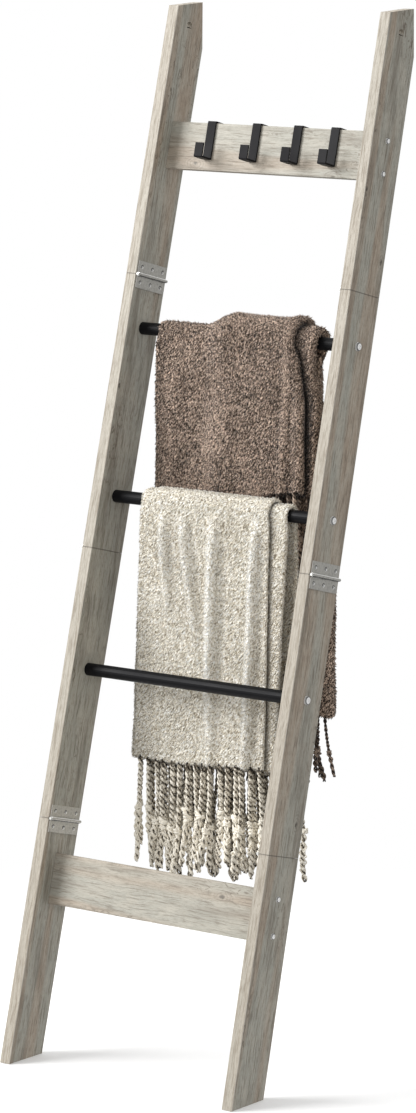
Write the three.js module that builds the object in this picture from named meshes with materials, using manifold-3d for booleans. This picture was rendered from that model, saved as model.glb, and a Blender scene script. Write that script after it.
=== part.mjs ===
// A leaning blanket ladder with two fringed throws over its rungs and four hooks on its top board.
// Millimetres, +Z up, +X along the rungs, +Y back to the wall. The origin is on the floor,
// under the middle of the object's box.
//
// The ladder is drawn in its own plane and then leaned. In that plane x runs along the rungs,
// y is the depth behind the rails' front faces and z is the distance up the rails.
import * as THREE from 'three';
import { mergeVertices } from 'three/addons/utils/BufferGeometryUtils.js';
import Module from 'manifold-3d';

const wasm = await Module();
wasm.setup();

// ---- Driving dimensions -------------------------------------------------------------------

const LEAN = THREE.MathUtils.degToRad(14.35); // the rails lean back from upright
const GAP = 0.4; // clearance between pieces that touch

const RAIL = { length: 1847, depth: 86, thickness: 20 };
const FOOT_WIDTH = 498; // over both rails at the floor
const HEAD_WIDTH = 468; // over both rails at the top
const SEAMS = [427, 898, 1377]; // where the four lengths of each rail meet
const HEAD_CUT = { flat: 69, rise: THREE.MathUtils.degToRad(2.7) }; // the cut over each rail's top

const MID_DEPTH = 44; // rungs, boards and bolts lie on this depth line
const BOARD_THICKNESS = 16;
const BOARDS = {
  top_board: { from: 1569, to: 1651, screws: [1581, 1637] },
  bottom_board: { from: 281, to: 369, screws: [294, 356] },
};
const RUNGS = { rung_top: 1288, rung_middle: 993.5, rung_bottom: 690.5 };
const RUNG = { radius: 11, wall: 1.5, plug: 14 };

const BOLT = { headRadius: 7.8, headHeight: 4.6, shankRadius: 3, length: 32, socket: 2.5 };
const SCREW = { headRadius: 5.4, headHeight: 3.2, shankRadius: 3.5, length: 50, socket: 2.2 };
const HOLE_CLEARANCE = 0.3;

const HINGE = { width: 78, reach: 23.5, thickness: 1.5, knuckles: 5, knuckleRadius: 3.2 };
const HINGE_PIN = { radius: 1.5, length: 84, endRadius: 2.6, endLength: 2.6 };
const HINGE_SCREW = { radius: 1.8, sinkRadius: 3.6, spacing: 29, height: 13.5 };

const HOOK = {
  width: 17, thickness: 3, drop: 65, reach: 26, lip: 24, backLeg: 26, bend: 3, insideBend: 0.6,
};
const HOOK_PLACES = [-128, -31.5, 56, 134];

const TIE_SLOT = { up: 1819, depth: 40, radius: 8, slotWidth: 13, slotHeight: 1.8, bar: 1.6 };

// The throws hang straight down from their rungs, folded into several layers.
const THROWS = {
  brown: {
    rung: 'rung_top', layers: 22, left: -180, right: 184, frontHem: 966, backHem: 606,
    frontFringe: { left: -176, right: 150, to: 850, thickness: 16 },
    backFringe: { left: -168, right: 176, to: 474, thickness: 16 },
  },
  cream: {
    rung: 'rung_middle', layers: 14, left: -166, right: 166, frontHem: 508, backHem: 500,
    frontFringe: { left: -160, right: 132, to: 312, thickness: 12 },
    backFringe: { left: -150, right: 170, to: 306, thickness: 12 },
  },
};
const THROW_CLEARANCE = 0.5; // between a throw and its rung

// ---- Finishes -----------------------------------------------------------------------------

const finish = (color, roughness, metalness) =>
  new THREE.MeshStandardMaterial({ color, roughness, metalness, flatShading: true });
const GREY_OAK = finish(0xa89f91, 0.6, 0);
const BLACK_METAL = finish(0x232427, 0.45, 0.6);
const GREY_STEEL = finish(0x76746f, 0.4, 0.9);
const BRIGHT_STEEL = finish(0xc9c9c8, 0.25, 1);
const BROWN_PLUSH = finish(0x7d6a60, 0.95, 0);
const CREAM_WOOL = finish(0xd3c8b6, 0.95, 0);

// ---- Solids -------------------------------------------------------------------------------

const IN_PLANE = new THREE.Matrix4().makeBasis(
  new THREE.Vector3(0, 1, 0), new THREE.Vector3(0, 0, 1), new THREE.Vector3(1, 0, 0));

function toSolid(geometry) {
  const bare = geometry.clone();
  bare.deleteAttribute('normal');
  bare.deleteAttribute('uv');
  const merged = mergeVertices(bare, 1e-4);
  return new wasm.Manifold(new wasm.Mesh({
    numProp: 3,
    vertProperties: new Float32Array(merged.attributes.position.array),
    triVerts: new Uint32Array(merged.index.array),
  }));
}

function toGeometry(solid) {
  const mesh = solid.getMesh();
  const geometry = new THREE.BufferGeometry();
  geometry.setAttribute('position', new THREE.BufferAttribute(mesh.vertProperties, 3));
  geometry.setIndex(new THREE.BufferAttribute(mesh.triVerts, 1));
  return geometry;
}

// An outline of [depth, height] points, given its width across x.
function slab(outline, fromX, width) {
  const shape = new THREE.Shape(outline.map(([y, z]) => new THREE.Vector2(y, z)));
  const geometry = new THREE.ExtrudeGeometry(shape, { depth: width, bevelEnabled: false });
  return geometry.applyMatrix4(IN_PLANE).translate(fromX, 0, 0);
}

function rodAlongX(radius, length, segments = 12) {
  return new THREE.CylinderGeometry(radius, radius, length, segments).rotateZ(Math.PI / 2);
}

// Turns a profile of [radius, distance] points about the x axis.
function turned(profile, segments) {
  const points = profile.map(([radius, along]) => new THREE.Vector2(radius, along));
  return new THREE.LatheGeometry(points, segments).rotateZ(-Math.PI / 2);
}

const part = new THREE.Group();
const ladder = new THREE.Group(); // everything that leans
const depth = RAIL.length * Math.sin(LEAN) + HEAD_CUT.flat;
ladder.rotation.x = -LEAN;
ladder.position.y = -depth / 2;
part.add(ladder);

function place(parent, name, geometry, material) {
  geometry.computeVertexNormals();
  const mesh = new THREE.Mesh(geometry, material);
  mesh.name = name;
  parent.add(mesh);
  return mesh;
}

// A point of the ladder's plane, in the part's own frame.
const leaned = (back, up) => ({
  y: up * Math.sin(LEAN) + back * Math.cos(LEAN) - depth / 2,
  z: up * Math.cos(LEAN) - back * Math.sin(LEAN),
});

// ---- Rails --------------------------------------------------------------------------------

// The rails draw together towards the top, so a rail's outer face is nearer the middle there.
const SPLAY = (FOOT_WIDTH - HEAD_WIDTH) / 2 / RAIL.length;
const outerFace = (up) => FOOT_WIDTH / 2 - SPLAY * up;
const innerFace = (up) => outerFace(up) - RAIL.thickness;
const SIDES = { left: -1, right: 1 };
const LENGTHS = ['foot', 'lower', 'upper', 'head'];

// The foot is cut level with the floor. The head is cut nearly level, and its back corner is cut
// upright to lie flat on the wall.
function railOutline(index) {
  const half = GAP / 2;
  const bottom = index === 0 ? null : SEAMS[index - 1] + half;
  const top = index === LENGTHS.length - 1 ? null : SEAMS[index] - half;
  const foot = bottom === null
    ? [[0, 0], [RAIL.depth, RAIL.depth * Math.tan(LEAN)]]
    : [[0, bottom], [RAIL.depth, bottom]];
  if (top !== null) return [...foot, [RAIL.depth, top], [0, top]];
  const rise = HEAD_CUT.flat * Math.tan(HEAD_CUT.rise);
  const back = HEAD_CUT.flat * Math.cos(LEAN) - rise * Math.sin(LEAN);
  const peak = RAIL.length + HEAD_CUT.flat * Math.sin(LEAN) + rise * Math.cos(LEAN);
  const wallCut = (RAIL.depth - back) / Math.sin(LEAN);
  return [...foot, [RAIL.depth, peak - wallCut * Math.cos(LEAN)], [back, peak], [0, RAIL.length]];
}

// A half-round hole with a narrow slot under it, through the rail, for a strap to the wall.
function tieSlot() {
  const hole = new THREE.Shape();
  hole.absarc(TIE_SLOT.depth, TIE_SLOT.up, TIE_SLOT.radius, 0, Math.PI);
  const arch = new THREE.ExtrudeGeometry(hole, {
    depth: FOOT_WIDTH, bevelEnabled: false, curveSegments: 10 });
  const slotTop = TIE_SLOT.up - TIE_SLOT.bar;
  const half = TIE_SLOT.slotWidth / 2;
  const slot = slab([
    [TIE_SLOT.depth - half, slotTop - TIE_SLOT.slotHeight],
    [TIE_SLOT.depth + half, slotTop - TIE_SLOT.slotHeight],
    [TIE_SLOT.depth + half, slotTop],
    [TIE_SLOT.depth - half, slotTop],
  ], -FOOT_WIDTH / 2, FOOT_WIDTH);
  return [toSolid(arch.applyMatrix4(IN_PLANE).translate(-FOOT_WIDTH / 2, 0, 0)), toSolid(slot)];
}

// Where bolts and screws cross the rails.
const CROSSINGS = [
  ...Object.values(RUNGS).map((up) => ({ up, radius: BOLT.shankRadius })),
  ...Object.values(BOARDS).flatMap(
    (board) => board.screws.map((up) => ({ up, radius: SCREW.shankRadius }))),
];

for (const [side, sign] of Object.entries(SIDES)) {
  const lean = new THREE.Matrix4().set(1, 0, -sign * SPLAY, 0, 0, 1, 0, 0, 0, 0, 1, 0, 0, 0, 0, 1);
  const fromX = sign > 0 ? FOOT_WIDTH / 2 - RAIL.thickness : -FOOT_WIDTH / 2;
  LENGTHS.forEach((length, index) => {
    const from = index === 0 ? 0 : SEAMS[index - 1];
    const to = index === LENGTHS.length - 1 ? RAIL.length : SEAMS[index];
    let rail = toSolid(slab(railOutline(index), fromX, RAIL.thickness).applyMatrix4(lean));
    for (const { up, radius } of CROSSINGS.filter(({ up }) => up > from && up < to)) {
      const drill = rodAlongX(radius + HOLE_CLEARANCE, FOOT_WIDTH)
        .translate(sign * FOOT_WIDTH / 2, MID_DEPTH, up);
      rail = rail.subtract(toSolid(drill));
    }
    if (length === 'head') tieSlot().forEach((cut) => { rail = rail.subtract(cut); });
    place(ladder, `${side}_rail_${length}`, toGeometry(rail), GREY_OAK);
  });
}

// ---- Boards -------------------------------------------------------------------------------

for (const [name, board] of Object.entries(BOARDS)) {
  const low = innerFace(board.from) - GAP;
  const high = innerFace(board.to) - GAP;
  const outline = new THREE.Shape([
    new THREE.Vector2(-low, board.from), new THREE.Vector2(low, board.from),
    new THREE.Vector2(high, board.to), new THREE.Vector2(-high, board.to),
  ]);
  const panel = new THREE.ExtrudeGeometry(outline, { depth: BOARD_THICKNESS, bevelEnabled: false });
  panel.rotateX(Math.PI / 2).translate(0, MID_DEPTH + BOARD_THICKNESS / 2, 0);
  let solid = toSolid(panel);
  for (const up of board.screws) {
    for (const sign of Object.values(SIDES)) {
      const tip = outerFace(up) - SCREW.length - HOLE_CLEARANCE;
      const drill = rodAlongX(SCREW.shankRadius + HOLE_CLEARANCE, FOOT_WIDTH)
        .translate(sign * (tip + FOOT_WIDTH / 2), MID_DEPTH, up);
      solid = solid.subtract(toSolid(drill));
    }
  }
  place(ladder, name, toGeometry(solid), GREY_OAK);
}

// ---- Rungs: steel tube with a drilled plug welded into each end ------------------------------

for (const [name, up] of Object.entries(RUNGS)) {
  const half = innerFace(up) - GAP;
  const bore = RUNG.radius - RUNG.wall;
  const hole = BOLT.shankRadius + HOLE_CLEARANCE;
  const inner = half - RUNG.plug;
  const tube = turned([
    [hole, -half], [RUNG.radius, -half], [RUNG.radius, half], [hole, half],
    [hole, inner], [bore, inner], [bore, -inner], [hole, -inner], [hole, -half],
  ], 24);
  place(ladder, name, tube, BLACK_METAL).position.set(0, MID_DEPTH, up);
}

// ---- Bolts and screws: a domed head with a six-sided socket ---------------------------------

// Drawn with the head's seat at the origin and the shank running towards -x.
function fastener({ headRadius, headHeight, shankRadius, length, socket }) {
  const dome = [[1, 0.25], [0.93, 0.62], [0.72, 0.88], [0.45, 1]].map(([outward, upward]) =>
    [headRadius * outward, headHeight * upward]);
  const profile = [[0, -length], [shankRadius - 0.6, -length], [shankRadius, -length + 1.5],
    [shankRadius, 0], [headRadius, 0], ...dome, [0, headHeight]];
  const key = rodAlongX(socket, headHeight, 6).translate(headHeight * 0.9, 0, 0);
  return toGeometry(toSolid(turned(profile, 16)).subtract(toSolid(key)));
}

const FASTENERS = [
  ...Object.entries(RUNGS).map(([name, up]) => ({ name: `${name}_bolt`, up, kind: BOLT })),
  ...Object.entries(BOARDS).flatMap(([name, board]) =>
    board.screws.map((up, index) => ({ name: `${name}_screw_${index + 1}`, up, kind: SCREW }))),
];

for (const [side, sign] of Object.entries(SIDES)) {
  for (const { name, up, kind } of FASTENERS) {
    const mesh = place(ladder, `${side}_${name}`, fastener(kind), BRIGHT_STEEL);
    mesh.position.set(sign * (outerFace(up) + GAP), MID_DEPTH, up);
    mesh.rotation.z = sign > 0 ? 0 : Math.PI;
  }
}

// ---- Hinges: two leaves and a pin where the lengths of a rail meet ----------------------------

// Drawn with the rail's face in the plane x = 0, the pin along y and the leaf towards +z.
const PIN_HEIGHT = HINGE.knuckleRadius + GAP;

function hingeLeaf(odd) {
  const cell = HINGE.width / HINGE.knuckles;
  const plateFrom = HINGE.knuckleRadius + GAP;
  const box = (y0, y1, z0, z1) =>
    toSolid(slab([[y0, z0], [y1, z0], [y1, z1], [y0, z1]], GAP, HINGE.thickness));
  const half = HINGE.width / 2;
  let leaf = box(-half, half, plateFrom, HINGE.reach);
  for (let index = odd; index < HINGE.knuckles; index += 2) {
    const from = -half + index * cell + (index === 0 ? 0 : GAP / 2);
    const to = -half + (index + 1) * cell - (index === HINGE.knuckles - 1 ? 0 : GAP / 2);
    const barrel = new THREE.CylinderGeometry(HINGE.knuckleRadius, HINGE.knuckleRadius, to - from, 12);
    leaf = leaf.add(box(from, to, 0, plateFrom + GAP));
    leaf = leaf.add(toSolid(barrel.translate(PIN_HEIGHT, (from + to) / 2, 0)));
  }
  const boreRadius = HINGE_PIN.radius + HOLE_CLEARANCE;
  const bore = new THREE.CylinderGeometry(boreRadius, boreRadius, HINGE.width * 2, 8);
  leaf = leaf.subtract(toSolid(bore.translate(PIN_HEIGHT, 0, 0)));
  for (const step of [-1, 0, 1]) {
    const sink = turned([[0, -HINGE.thickness], [HINGE_SCREW.radius, -HINGE.thickness],
      [HINGE_SCREW.radius, HINGE.thickness * 0.3], [HINGE_SCREW.sinkRadius, HINGE.thickness],
      [HINGE_SCREW.sinkRadius, HINGE.thickness * 2], [0, HINGE.thickness * 2]], 10);
    leaf = leaf.subtract(toSolid(sink.translate(GAP, step * HINGE_SCREW.spacing, HINGE_SCREW.height)));
  }
  return toGeometry(leaf);
}

function hingePin() {
  const half = HINGE_PIN.length / 2;
  const shoulder = half - HINGE_PIN.endLength;
  const profile = [[0, -half], [HINGE_PIN.endRadius, -half], [HINGE_PIN.endRadius, -shoulder],
    [HINGE_PIN.radius, -shoulder], [HINGE_PIN.radius, shoulder], [HINGE_PIN.endRadius, shoulder],
    [HINGE_PIN.endRadius, half], [0, half]];
  const points = profile.map(([radius, along]) => new THREE.Vector2(radius, along));
  return new THREE.LatheGeometry(points, 10).translate(PIN_HEIGHT, 0, 0);
}

// The middle hinge of each rail is on its outer face, the other two on its inner face, so that
// the unbolted rail folds up in a zigzag.
const HINGES = { lower: false, middle: true, upper: false };

for (const [side, sign] of Object.entries(SIDES)) {
  Object.entries(HINGES).forEach(([level, isOuter], index) => {
    const up = SEAMS[index];
    const hinge = new THREE.Group();
    hinge.position.set(sign * (isOuter ? outerFace(up) : innerFace(up)), RAIL.depth / 2, up);
    hinge.rotation.y = -sign * Math.atan(SPLAY);
    const turn = new THREE.Group();
    turn.rotation.z = sign > 0 === isOuter ? 0 : Math.PI;
    hinge.add(turn);
    ladder.add(hinge);
    const name = `${side}_${level}_hinge`;
    place(turn, `${name}_upper_leaf`, hingeLeaf(0), GREY_STEEL);
    const lower = place(turn, `${name}_lower_leaf`, hingeLeaf(1), GREY_STEEL);
    lower.geometry.scale(1, -1, -1); // a half turn about x
    place(turn, `${name}_pin`, hingePin(), BRIGHT_STEEL);
  });
}

// ---- Hooks: flat bar bent over the top board ------------------------------------------------

// The bar's middle line as [depth, height] corners, from the tail behind the board to the lip.
function hookGeometry() {
  const half = HOOK.thickness / 2;
  const front = MID_DEPTH - BOARD_THICKNESS / 2 - GAP - half;
  const back = MID_DEPTH + BOARD_THICKNESS / 2 + GAP + half;
  const over = BOARDS.top_board.to + GAP + half;
  const bottom = over - HOOK.drop;
  const lip = front - HOOK.reach;
  const corners = [[back, over - HOOK.backLeg], [back, over], [front, over], [front, bottom],
    [lip, bottom], [lip, bottom + HOOK.lip]];
  const offsetSide = (offset) => corners.map(([y, z], index) => {
    const before = corners[index - 1] ?? corners[index];
    const after = corners[index + 1] ?? corners[index];
    const direction = (from, to) => {
      const length = Math.hypot(to[0] - from[0], to[1] - from[1]) || 1;
      return [(to[0] - from[0]) / length, (to[1] - from[1]) / length];
    };
    const [ay, az] = direction(before, [y, z]);
    const [by, bz] = direction([y, z], after);
    return new THREE.Vector2(y - (az + bz) * offset, z + (ay + by) * offset);
  });
  const outline = roundedOutline([...offsetSide(-half), ...offsetSide(half).reverse()]);
  const geometry = new THREE.ExtrudeGeometry(outline, {
    depth: HOOK.width, bevelEnabled: false, curveSegments: 4 });
  return geometry.applyMatrix4(IN_PLANE).translate(-HOOK.width / 2, 0, 0);
}

// Rounds the inside and outside of each bend of a closed outline; the bar's ends stay square.
function roundedOutline(points) {
  const outline = new THREE.Shape();
  points.forEach((point, index) => {
    const before = points[(index + points.length - 1) % points.length];
    const after = points[(index + 1) % points.length];
    const isEnd = Math.min(point.distanceTo(before), point.distanceTo(after)) < HOOK.thickness + 0.01;
    const turn = point.clone().sub(before).cross(after.clone().sub(point));
    const isInside = turn < 0;
    const radius = isEnd ? 0 : isInside ? HOOK.insideBend : HOOK.bend;
    const start = point.clone().lerp(before, radius / point.distanceTo(before));
    const finishPoint = point.clone().lerp(after, radius / point.distanceTo(after));
    if (index === 0) outline.moveTo(start.x, start.y);
    else outline.lineTo(start.x, start.y);
    if (radius > 0) outline.quadraticCurveTo(point.x, point.y, finishPoint.x, finishPoint.y);
  });
  outline.closePath();
  return outline;
}

HOOK_PLACES.forEach((x, index) => {
  place(ladder, `hook_${index + 1}`, hookGeometry(), BLACK_METAL).position.x = x;
});

// ---- Throws -------------------------------------------------------------------------------

// The space that the folded cloth takes: down the front, over the rung and down the back.
function throwGeometry(cloth, centre) {
  const inner = RUNG.radius + THROW_CLEARANCE;
  const outer = inner + cloth.layers;
  const outline = new THREE.Shape();
  outline.moveTo(centre.y - inner, cloth.frontHem);
  outline.lineTo(centre.y - inner, centre.z);
  outline.absarc(centre.y, centre.z, inner, Math.PI, 0, true);
  outline.lineTo(centre.y + inner, cloth.backHem);
  outline.lineTo(centre.y + outer, cloth.backHem);
  outline.lineTo(centre.y + outer, centre.z);
  outline.absarc(centre.y, centre.z, outer, 0, Math.PI, false);
  outline.lineTo(centre.y - outer, cloth.frontHem);
  outline.closePath();
  const geometry = new THREE.ExtrudeGeometry(outline, {
    depth: cloth.right - cloth.left, bevelEnabled: false, curveSegments: 14 });
  return geometry.applyMatrix4(IN_PLANE).translate(cloth.left, 0, 0);
}

// The space that a row of tassels takes, under a hem.
function fringeGeometry(fringe, hem, y) {
  const half = fringe.thickness / 2;
  const top = hem - GAP;
  const outline = [[y - half, fringe.to], [y + half, fringe.to], [y + half, top], [y - half, top]];
  return slab(outline, fringe.left, fringe.right - fringe.left);
}

for (const [colour, cloth] of Object.entries(THROWS)) {
  const material = colour === 'brown' ? BROWN_PLUSH : CREAM_WOOL;
  const centre = leaned(MID_DEPTH, RUNGS[cloth.rung]);
  const hang = RUNG.radius + THROW_CLEARANCE + cloth.layers / 2;
  place(part, `${colour}_throw`, throwGeometry(cloth, centre), material);
  const front = fringeGeometry(cloth.frontFringe, cloth.frontHem, centre.y - hang);
  const back = fringeGeometry(cloth.backFringe, cloth.backHem, centre.y + hang);
  place(part, `${colour}_front_fringe`, front, material);
  place(part, `${colour}_back_fringe`, back, material);
}

export default part;
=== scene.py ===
"""A leaning blanket ladder with two fringed throws over its rungs and four hooks on its top board.

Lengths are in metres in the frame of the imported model: +Z up, -Y to the front, +Y to the wall.
"""

import math

import bpy
import numpy as np
from mathutils import Euler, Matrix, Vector
from mathutils.bvhtree import BVHTree


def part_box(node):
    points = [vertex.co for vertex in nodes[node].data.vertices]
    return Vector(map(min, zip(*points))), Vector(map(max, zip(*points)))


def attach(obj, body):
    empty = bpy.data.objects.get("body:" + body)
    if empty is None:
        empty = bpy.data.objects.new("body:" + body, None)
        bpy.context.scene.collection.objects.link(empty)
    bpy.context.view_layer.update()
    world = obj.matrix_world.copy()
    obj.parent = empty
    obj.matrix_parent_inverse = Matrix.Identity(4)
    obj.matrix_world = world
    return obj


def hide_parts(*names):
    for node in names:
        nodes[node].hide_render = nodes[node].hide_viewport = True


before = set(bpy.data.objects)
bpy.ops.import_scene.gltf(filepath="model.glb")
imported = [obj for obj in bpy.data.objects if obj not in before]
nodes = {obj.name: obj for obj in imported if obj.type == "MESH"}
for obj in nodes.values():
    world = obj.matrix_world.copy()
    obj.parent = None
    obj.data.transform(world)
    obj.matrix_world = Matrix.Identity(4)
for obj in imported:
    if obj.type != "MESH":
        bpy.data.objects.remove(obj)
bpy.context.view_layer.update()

# ---- Camera ------------------------------------------------------------------------------
# A long lens, well to the right of the ladder and a little above its middle rung, looking slightly down. It
# shows the front of the ladder and its right side.

LOOKS_DOWN, TURNED_RIGHT = math.radians(9.2125), math.radians(37.395)
camera = bpy.data.objects.new("camera", bpy.data.cameras.new("camera"))
bpy.context.scene.collection.objects.link(camera)
camera.location = (4.6555, -6.0913, 2.1140)
camera.rotation_euler = Euler((math.pi / 2 - LOOKS_DOWN, 0, TURNED_RIGHT))
camera.data.sensor_fit = "AUTO"
camera.data.sensor_width = 36
camera.data.lens = 147.83
camera.data.clip_end = 200
bpy.context.scene.camera = camera

# ---- Rails and cross boards --------------------------------------------------------------
# Particle board wrapped in a printed foil of grey-washed oak. A rail is four boards that meet at the hinges.
# The print has planks of cooler and warmer tone, streaks and cracked knots. The narrow faces have an edging of
# their own, and the side faces of the rails have a painted highlight along their front corner.


class Number:
    """A number in a node tree. Arithmetic on it adds Math nodes."""

    def __init__(self, tree, socket):
        self.tree, self.socket = tree, socket

    def __add__(self, other):
        return self.tree.maths("ADD", self, other)

    def __sub__(self, other):
        return self.tree.maths("SUBTRACT", self, other)

    def __rsub__(self, other):
        return self.tree.maths("SUBTRACT", other, self)

    def __mul__(self, other):
        return self.tree.maths("MULTIPLY", self, other)

    __radd__ = __add__
    __rmul__ = __mul__


class Tree:
    """A node tree in the making."""

    def __init__(self, tree):
        self.tree = tree

    def add(self, kind, settings=None, inputs=None):
        """A node of that type: its settings are set first, and then the values or links of its sockets."""
        node = self.tree.nodes.new(kind)
        for name, value in (settings or {}).items():
            if name == "stops":
                stops = node.color_ramp.elements
                for place, colour in value[len(stops):]:
                    stops.new(place)
                for stop, (place, colour) in zip(stops, value):
                    stop.position, stop.color = place, (*colour, 1)
            else:
                setattr(node, name, value)
        for name, value in (inputs or {}).items():
            value = value.socket if isinstance(value, Number) else value
            if isinstance(value, bpy.types.NodeSocket):
                self.tree.links.new(value, node.inputs[name])
            else:
                node.inputs[name].default_value = value
        return node

    def maths(self, operation, *values):
        """A Math node on numbers."""
        node = self.add("ShaderNodeMath", {"operation": operation}, dict(enumerate(values)))
        return Number(self, node.outputs[0])

    def step(self, value, low, high, start=0.0, end=1.0):
        """A smooth step of a number from low to high."""
        inputs = {"Value": value, "From Min": low, "From Max": high, "To Min": start, "To Max": end}
        node = self.add("ShaderNodeMapRange", {"interpolation_type": "SMOOTHSTEP"}, inputs)
        return Number(self, node.outputs[0])

    def mix(self, share, a, b):
        """The colour that goes from a to b as the share goes from 0 to 1. Each is a tuple or a socket."""
        a, b = ((*c, 1) if isinstance(c, tuple) else c for c in (a, b))
        return self.add("ShaderNodeMix", {"data_type": "RGBA"}, {0: share, 6: a, 7: b}).outputs[2]

    def noise(self, vector, scale=1.0, detail=2.0, roughness=0.5, distortion=0.0, dimensions="3D"):
        """A noise of about 0 to 1, with so many features to each unit of the vector."""
        inputs = {"Vector": vector, "Scale": scale, "Detail": detail, "Roughness": roughness,
                  "Distortion": distortion}
        node = self.add("ShaderNodeTexNoise", {"noise_dimensions": dimensions}, inputs)
        return Number(self, node.outputs[0])

    def place(self):
        """Where a point of the surface is, in metres."""
        return self.add("ShaderNodeTexCoord").outputs["Object"]

    def split(self, vector):
        """The x, y and z of a vector."""
        return [Number(self, part) for part in self.add("ShaderNodeSeparateXYZ", {}, {0: vector}).outputs]

    def facing(self):
        """The x, y and z of the direction that the surface faces."""
        return self.split(self.add("ShaderNodeTexCoord").outputs["Normal"])

    def stored(self, attribute):
        """A number that the mesh stores at each point."""
        return Number(self, self.add("ShaderNodeAttribute", {"attribute_name": attribute}).outputs["Fac"])

    def bump(self, height, distance, strength):
        """A normal for a surface that stands out by the height times the distance."""
        inputs = {"Height": height, "Distance": distance, "Strength": strength}
        return self.add("ShaderNodeBump", {}, inputs).outputs[0]


def new_finish(name):
    """An empty material and its tree."""
    material = bpy.data.materials.new(name)
    material.use_nodes = True
    material.node_tree.nodes.clear()
    return material, Tree(material.node_tree)


def surface(tree, **inputs):
    """The tree's Principled shader and its output. Sockets are named with _ for a space."""
    inputs = {socket.replace("_", " "): value for socket, value in inputs.items()}
    shader = tree.add("ShaderNodeBsdfPrincipled", {}, inputs)
    tree.add("ShaderNodeOutputMaterial", {}, {"Surface": shader.outputs[0]})


def paint(material, names):
    """A finish on CAD nodes."""
    for name in names:
        nodes[name].data.materials.clear()
        nodes[name].data.materials.append(material)


LEAN = math.radians(14.35)
SEAM_PLACES = (0.427, 0.898, 1.377)  # along the rail, from its foot
GREY_OAK = {"cool": (0.368, 0.362, 0.312), "warm": (0.372, 0.302, 0.232), "pale": (0.474, 0.438, 0.367),
            "dark": (0.130, 0.104, 0.076), "knot": (0.060, 0.048, 0.036), "seam": (0.10, 0.085, 0.07)}
EDGING = {"plain": (0.446, 0.409, 0.343), "streak": (0.270, 0.230, 0.178), "fibre": (0.255, 0.215, 0.166),
          "painted_edge_highlight": (0.640, 0.600, 0.525)}
KNOTS = {"over": 9.0, "along": 5.5, "rings": 190}  # to a metre of the board


def along_rail(name):
    """The corners of a CAD node in the rail's own frame: across, in depth, and along it."""
    points = np.array([v.co for v in nodes[name].data.vertices])
    depth = points[:, 1] * math.cos(LEAN) - points[:, 2] * math.sin(LEAN)
    along = points[:, 1] * math.sin(LEAN) + points[:, 2] * math.cos(LEAN)
    turned = np.stack([points[:, 0], depth, along], 1)
    return turned.min(0), turned.max(0)


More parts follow.
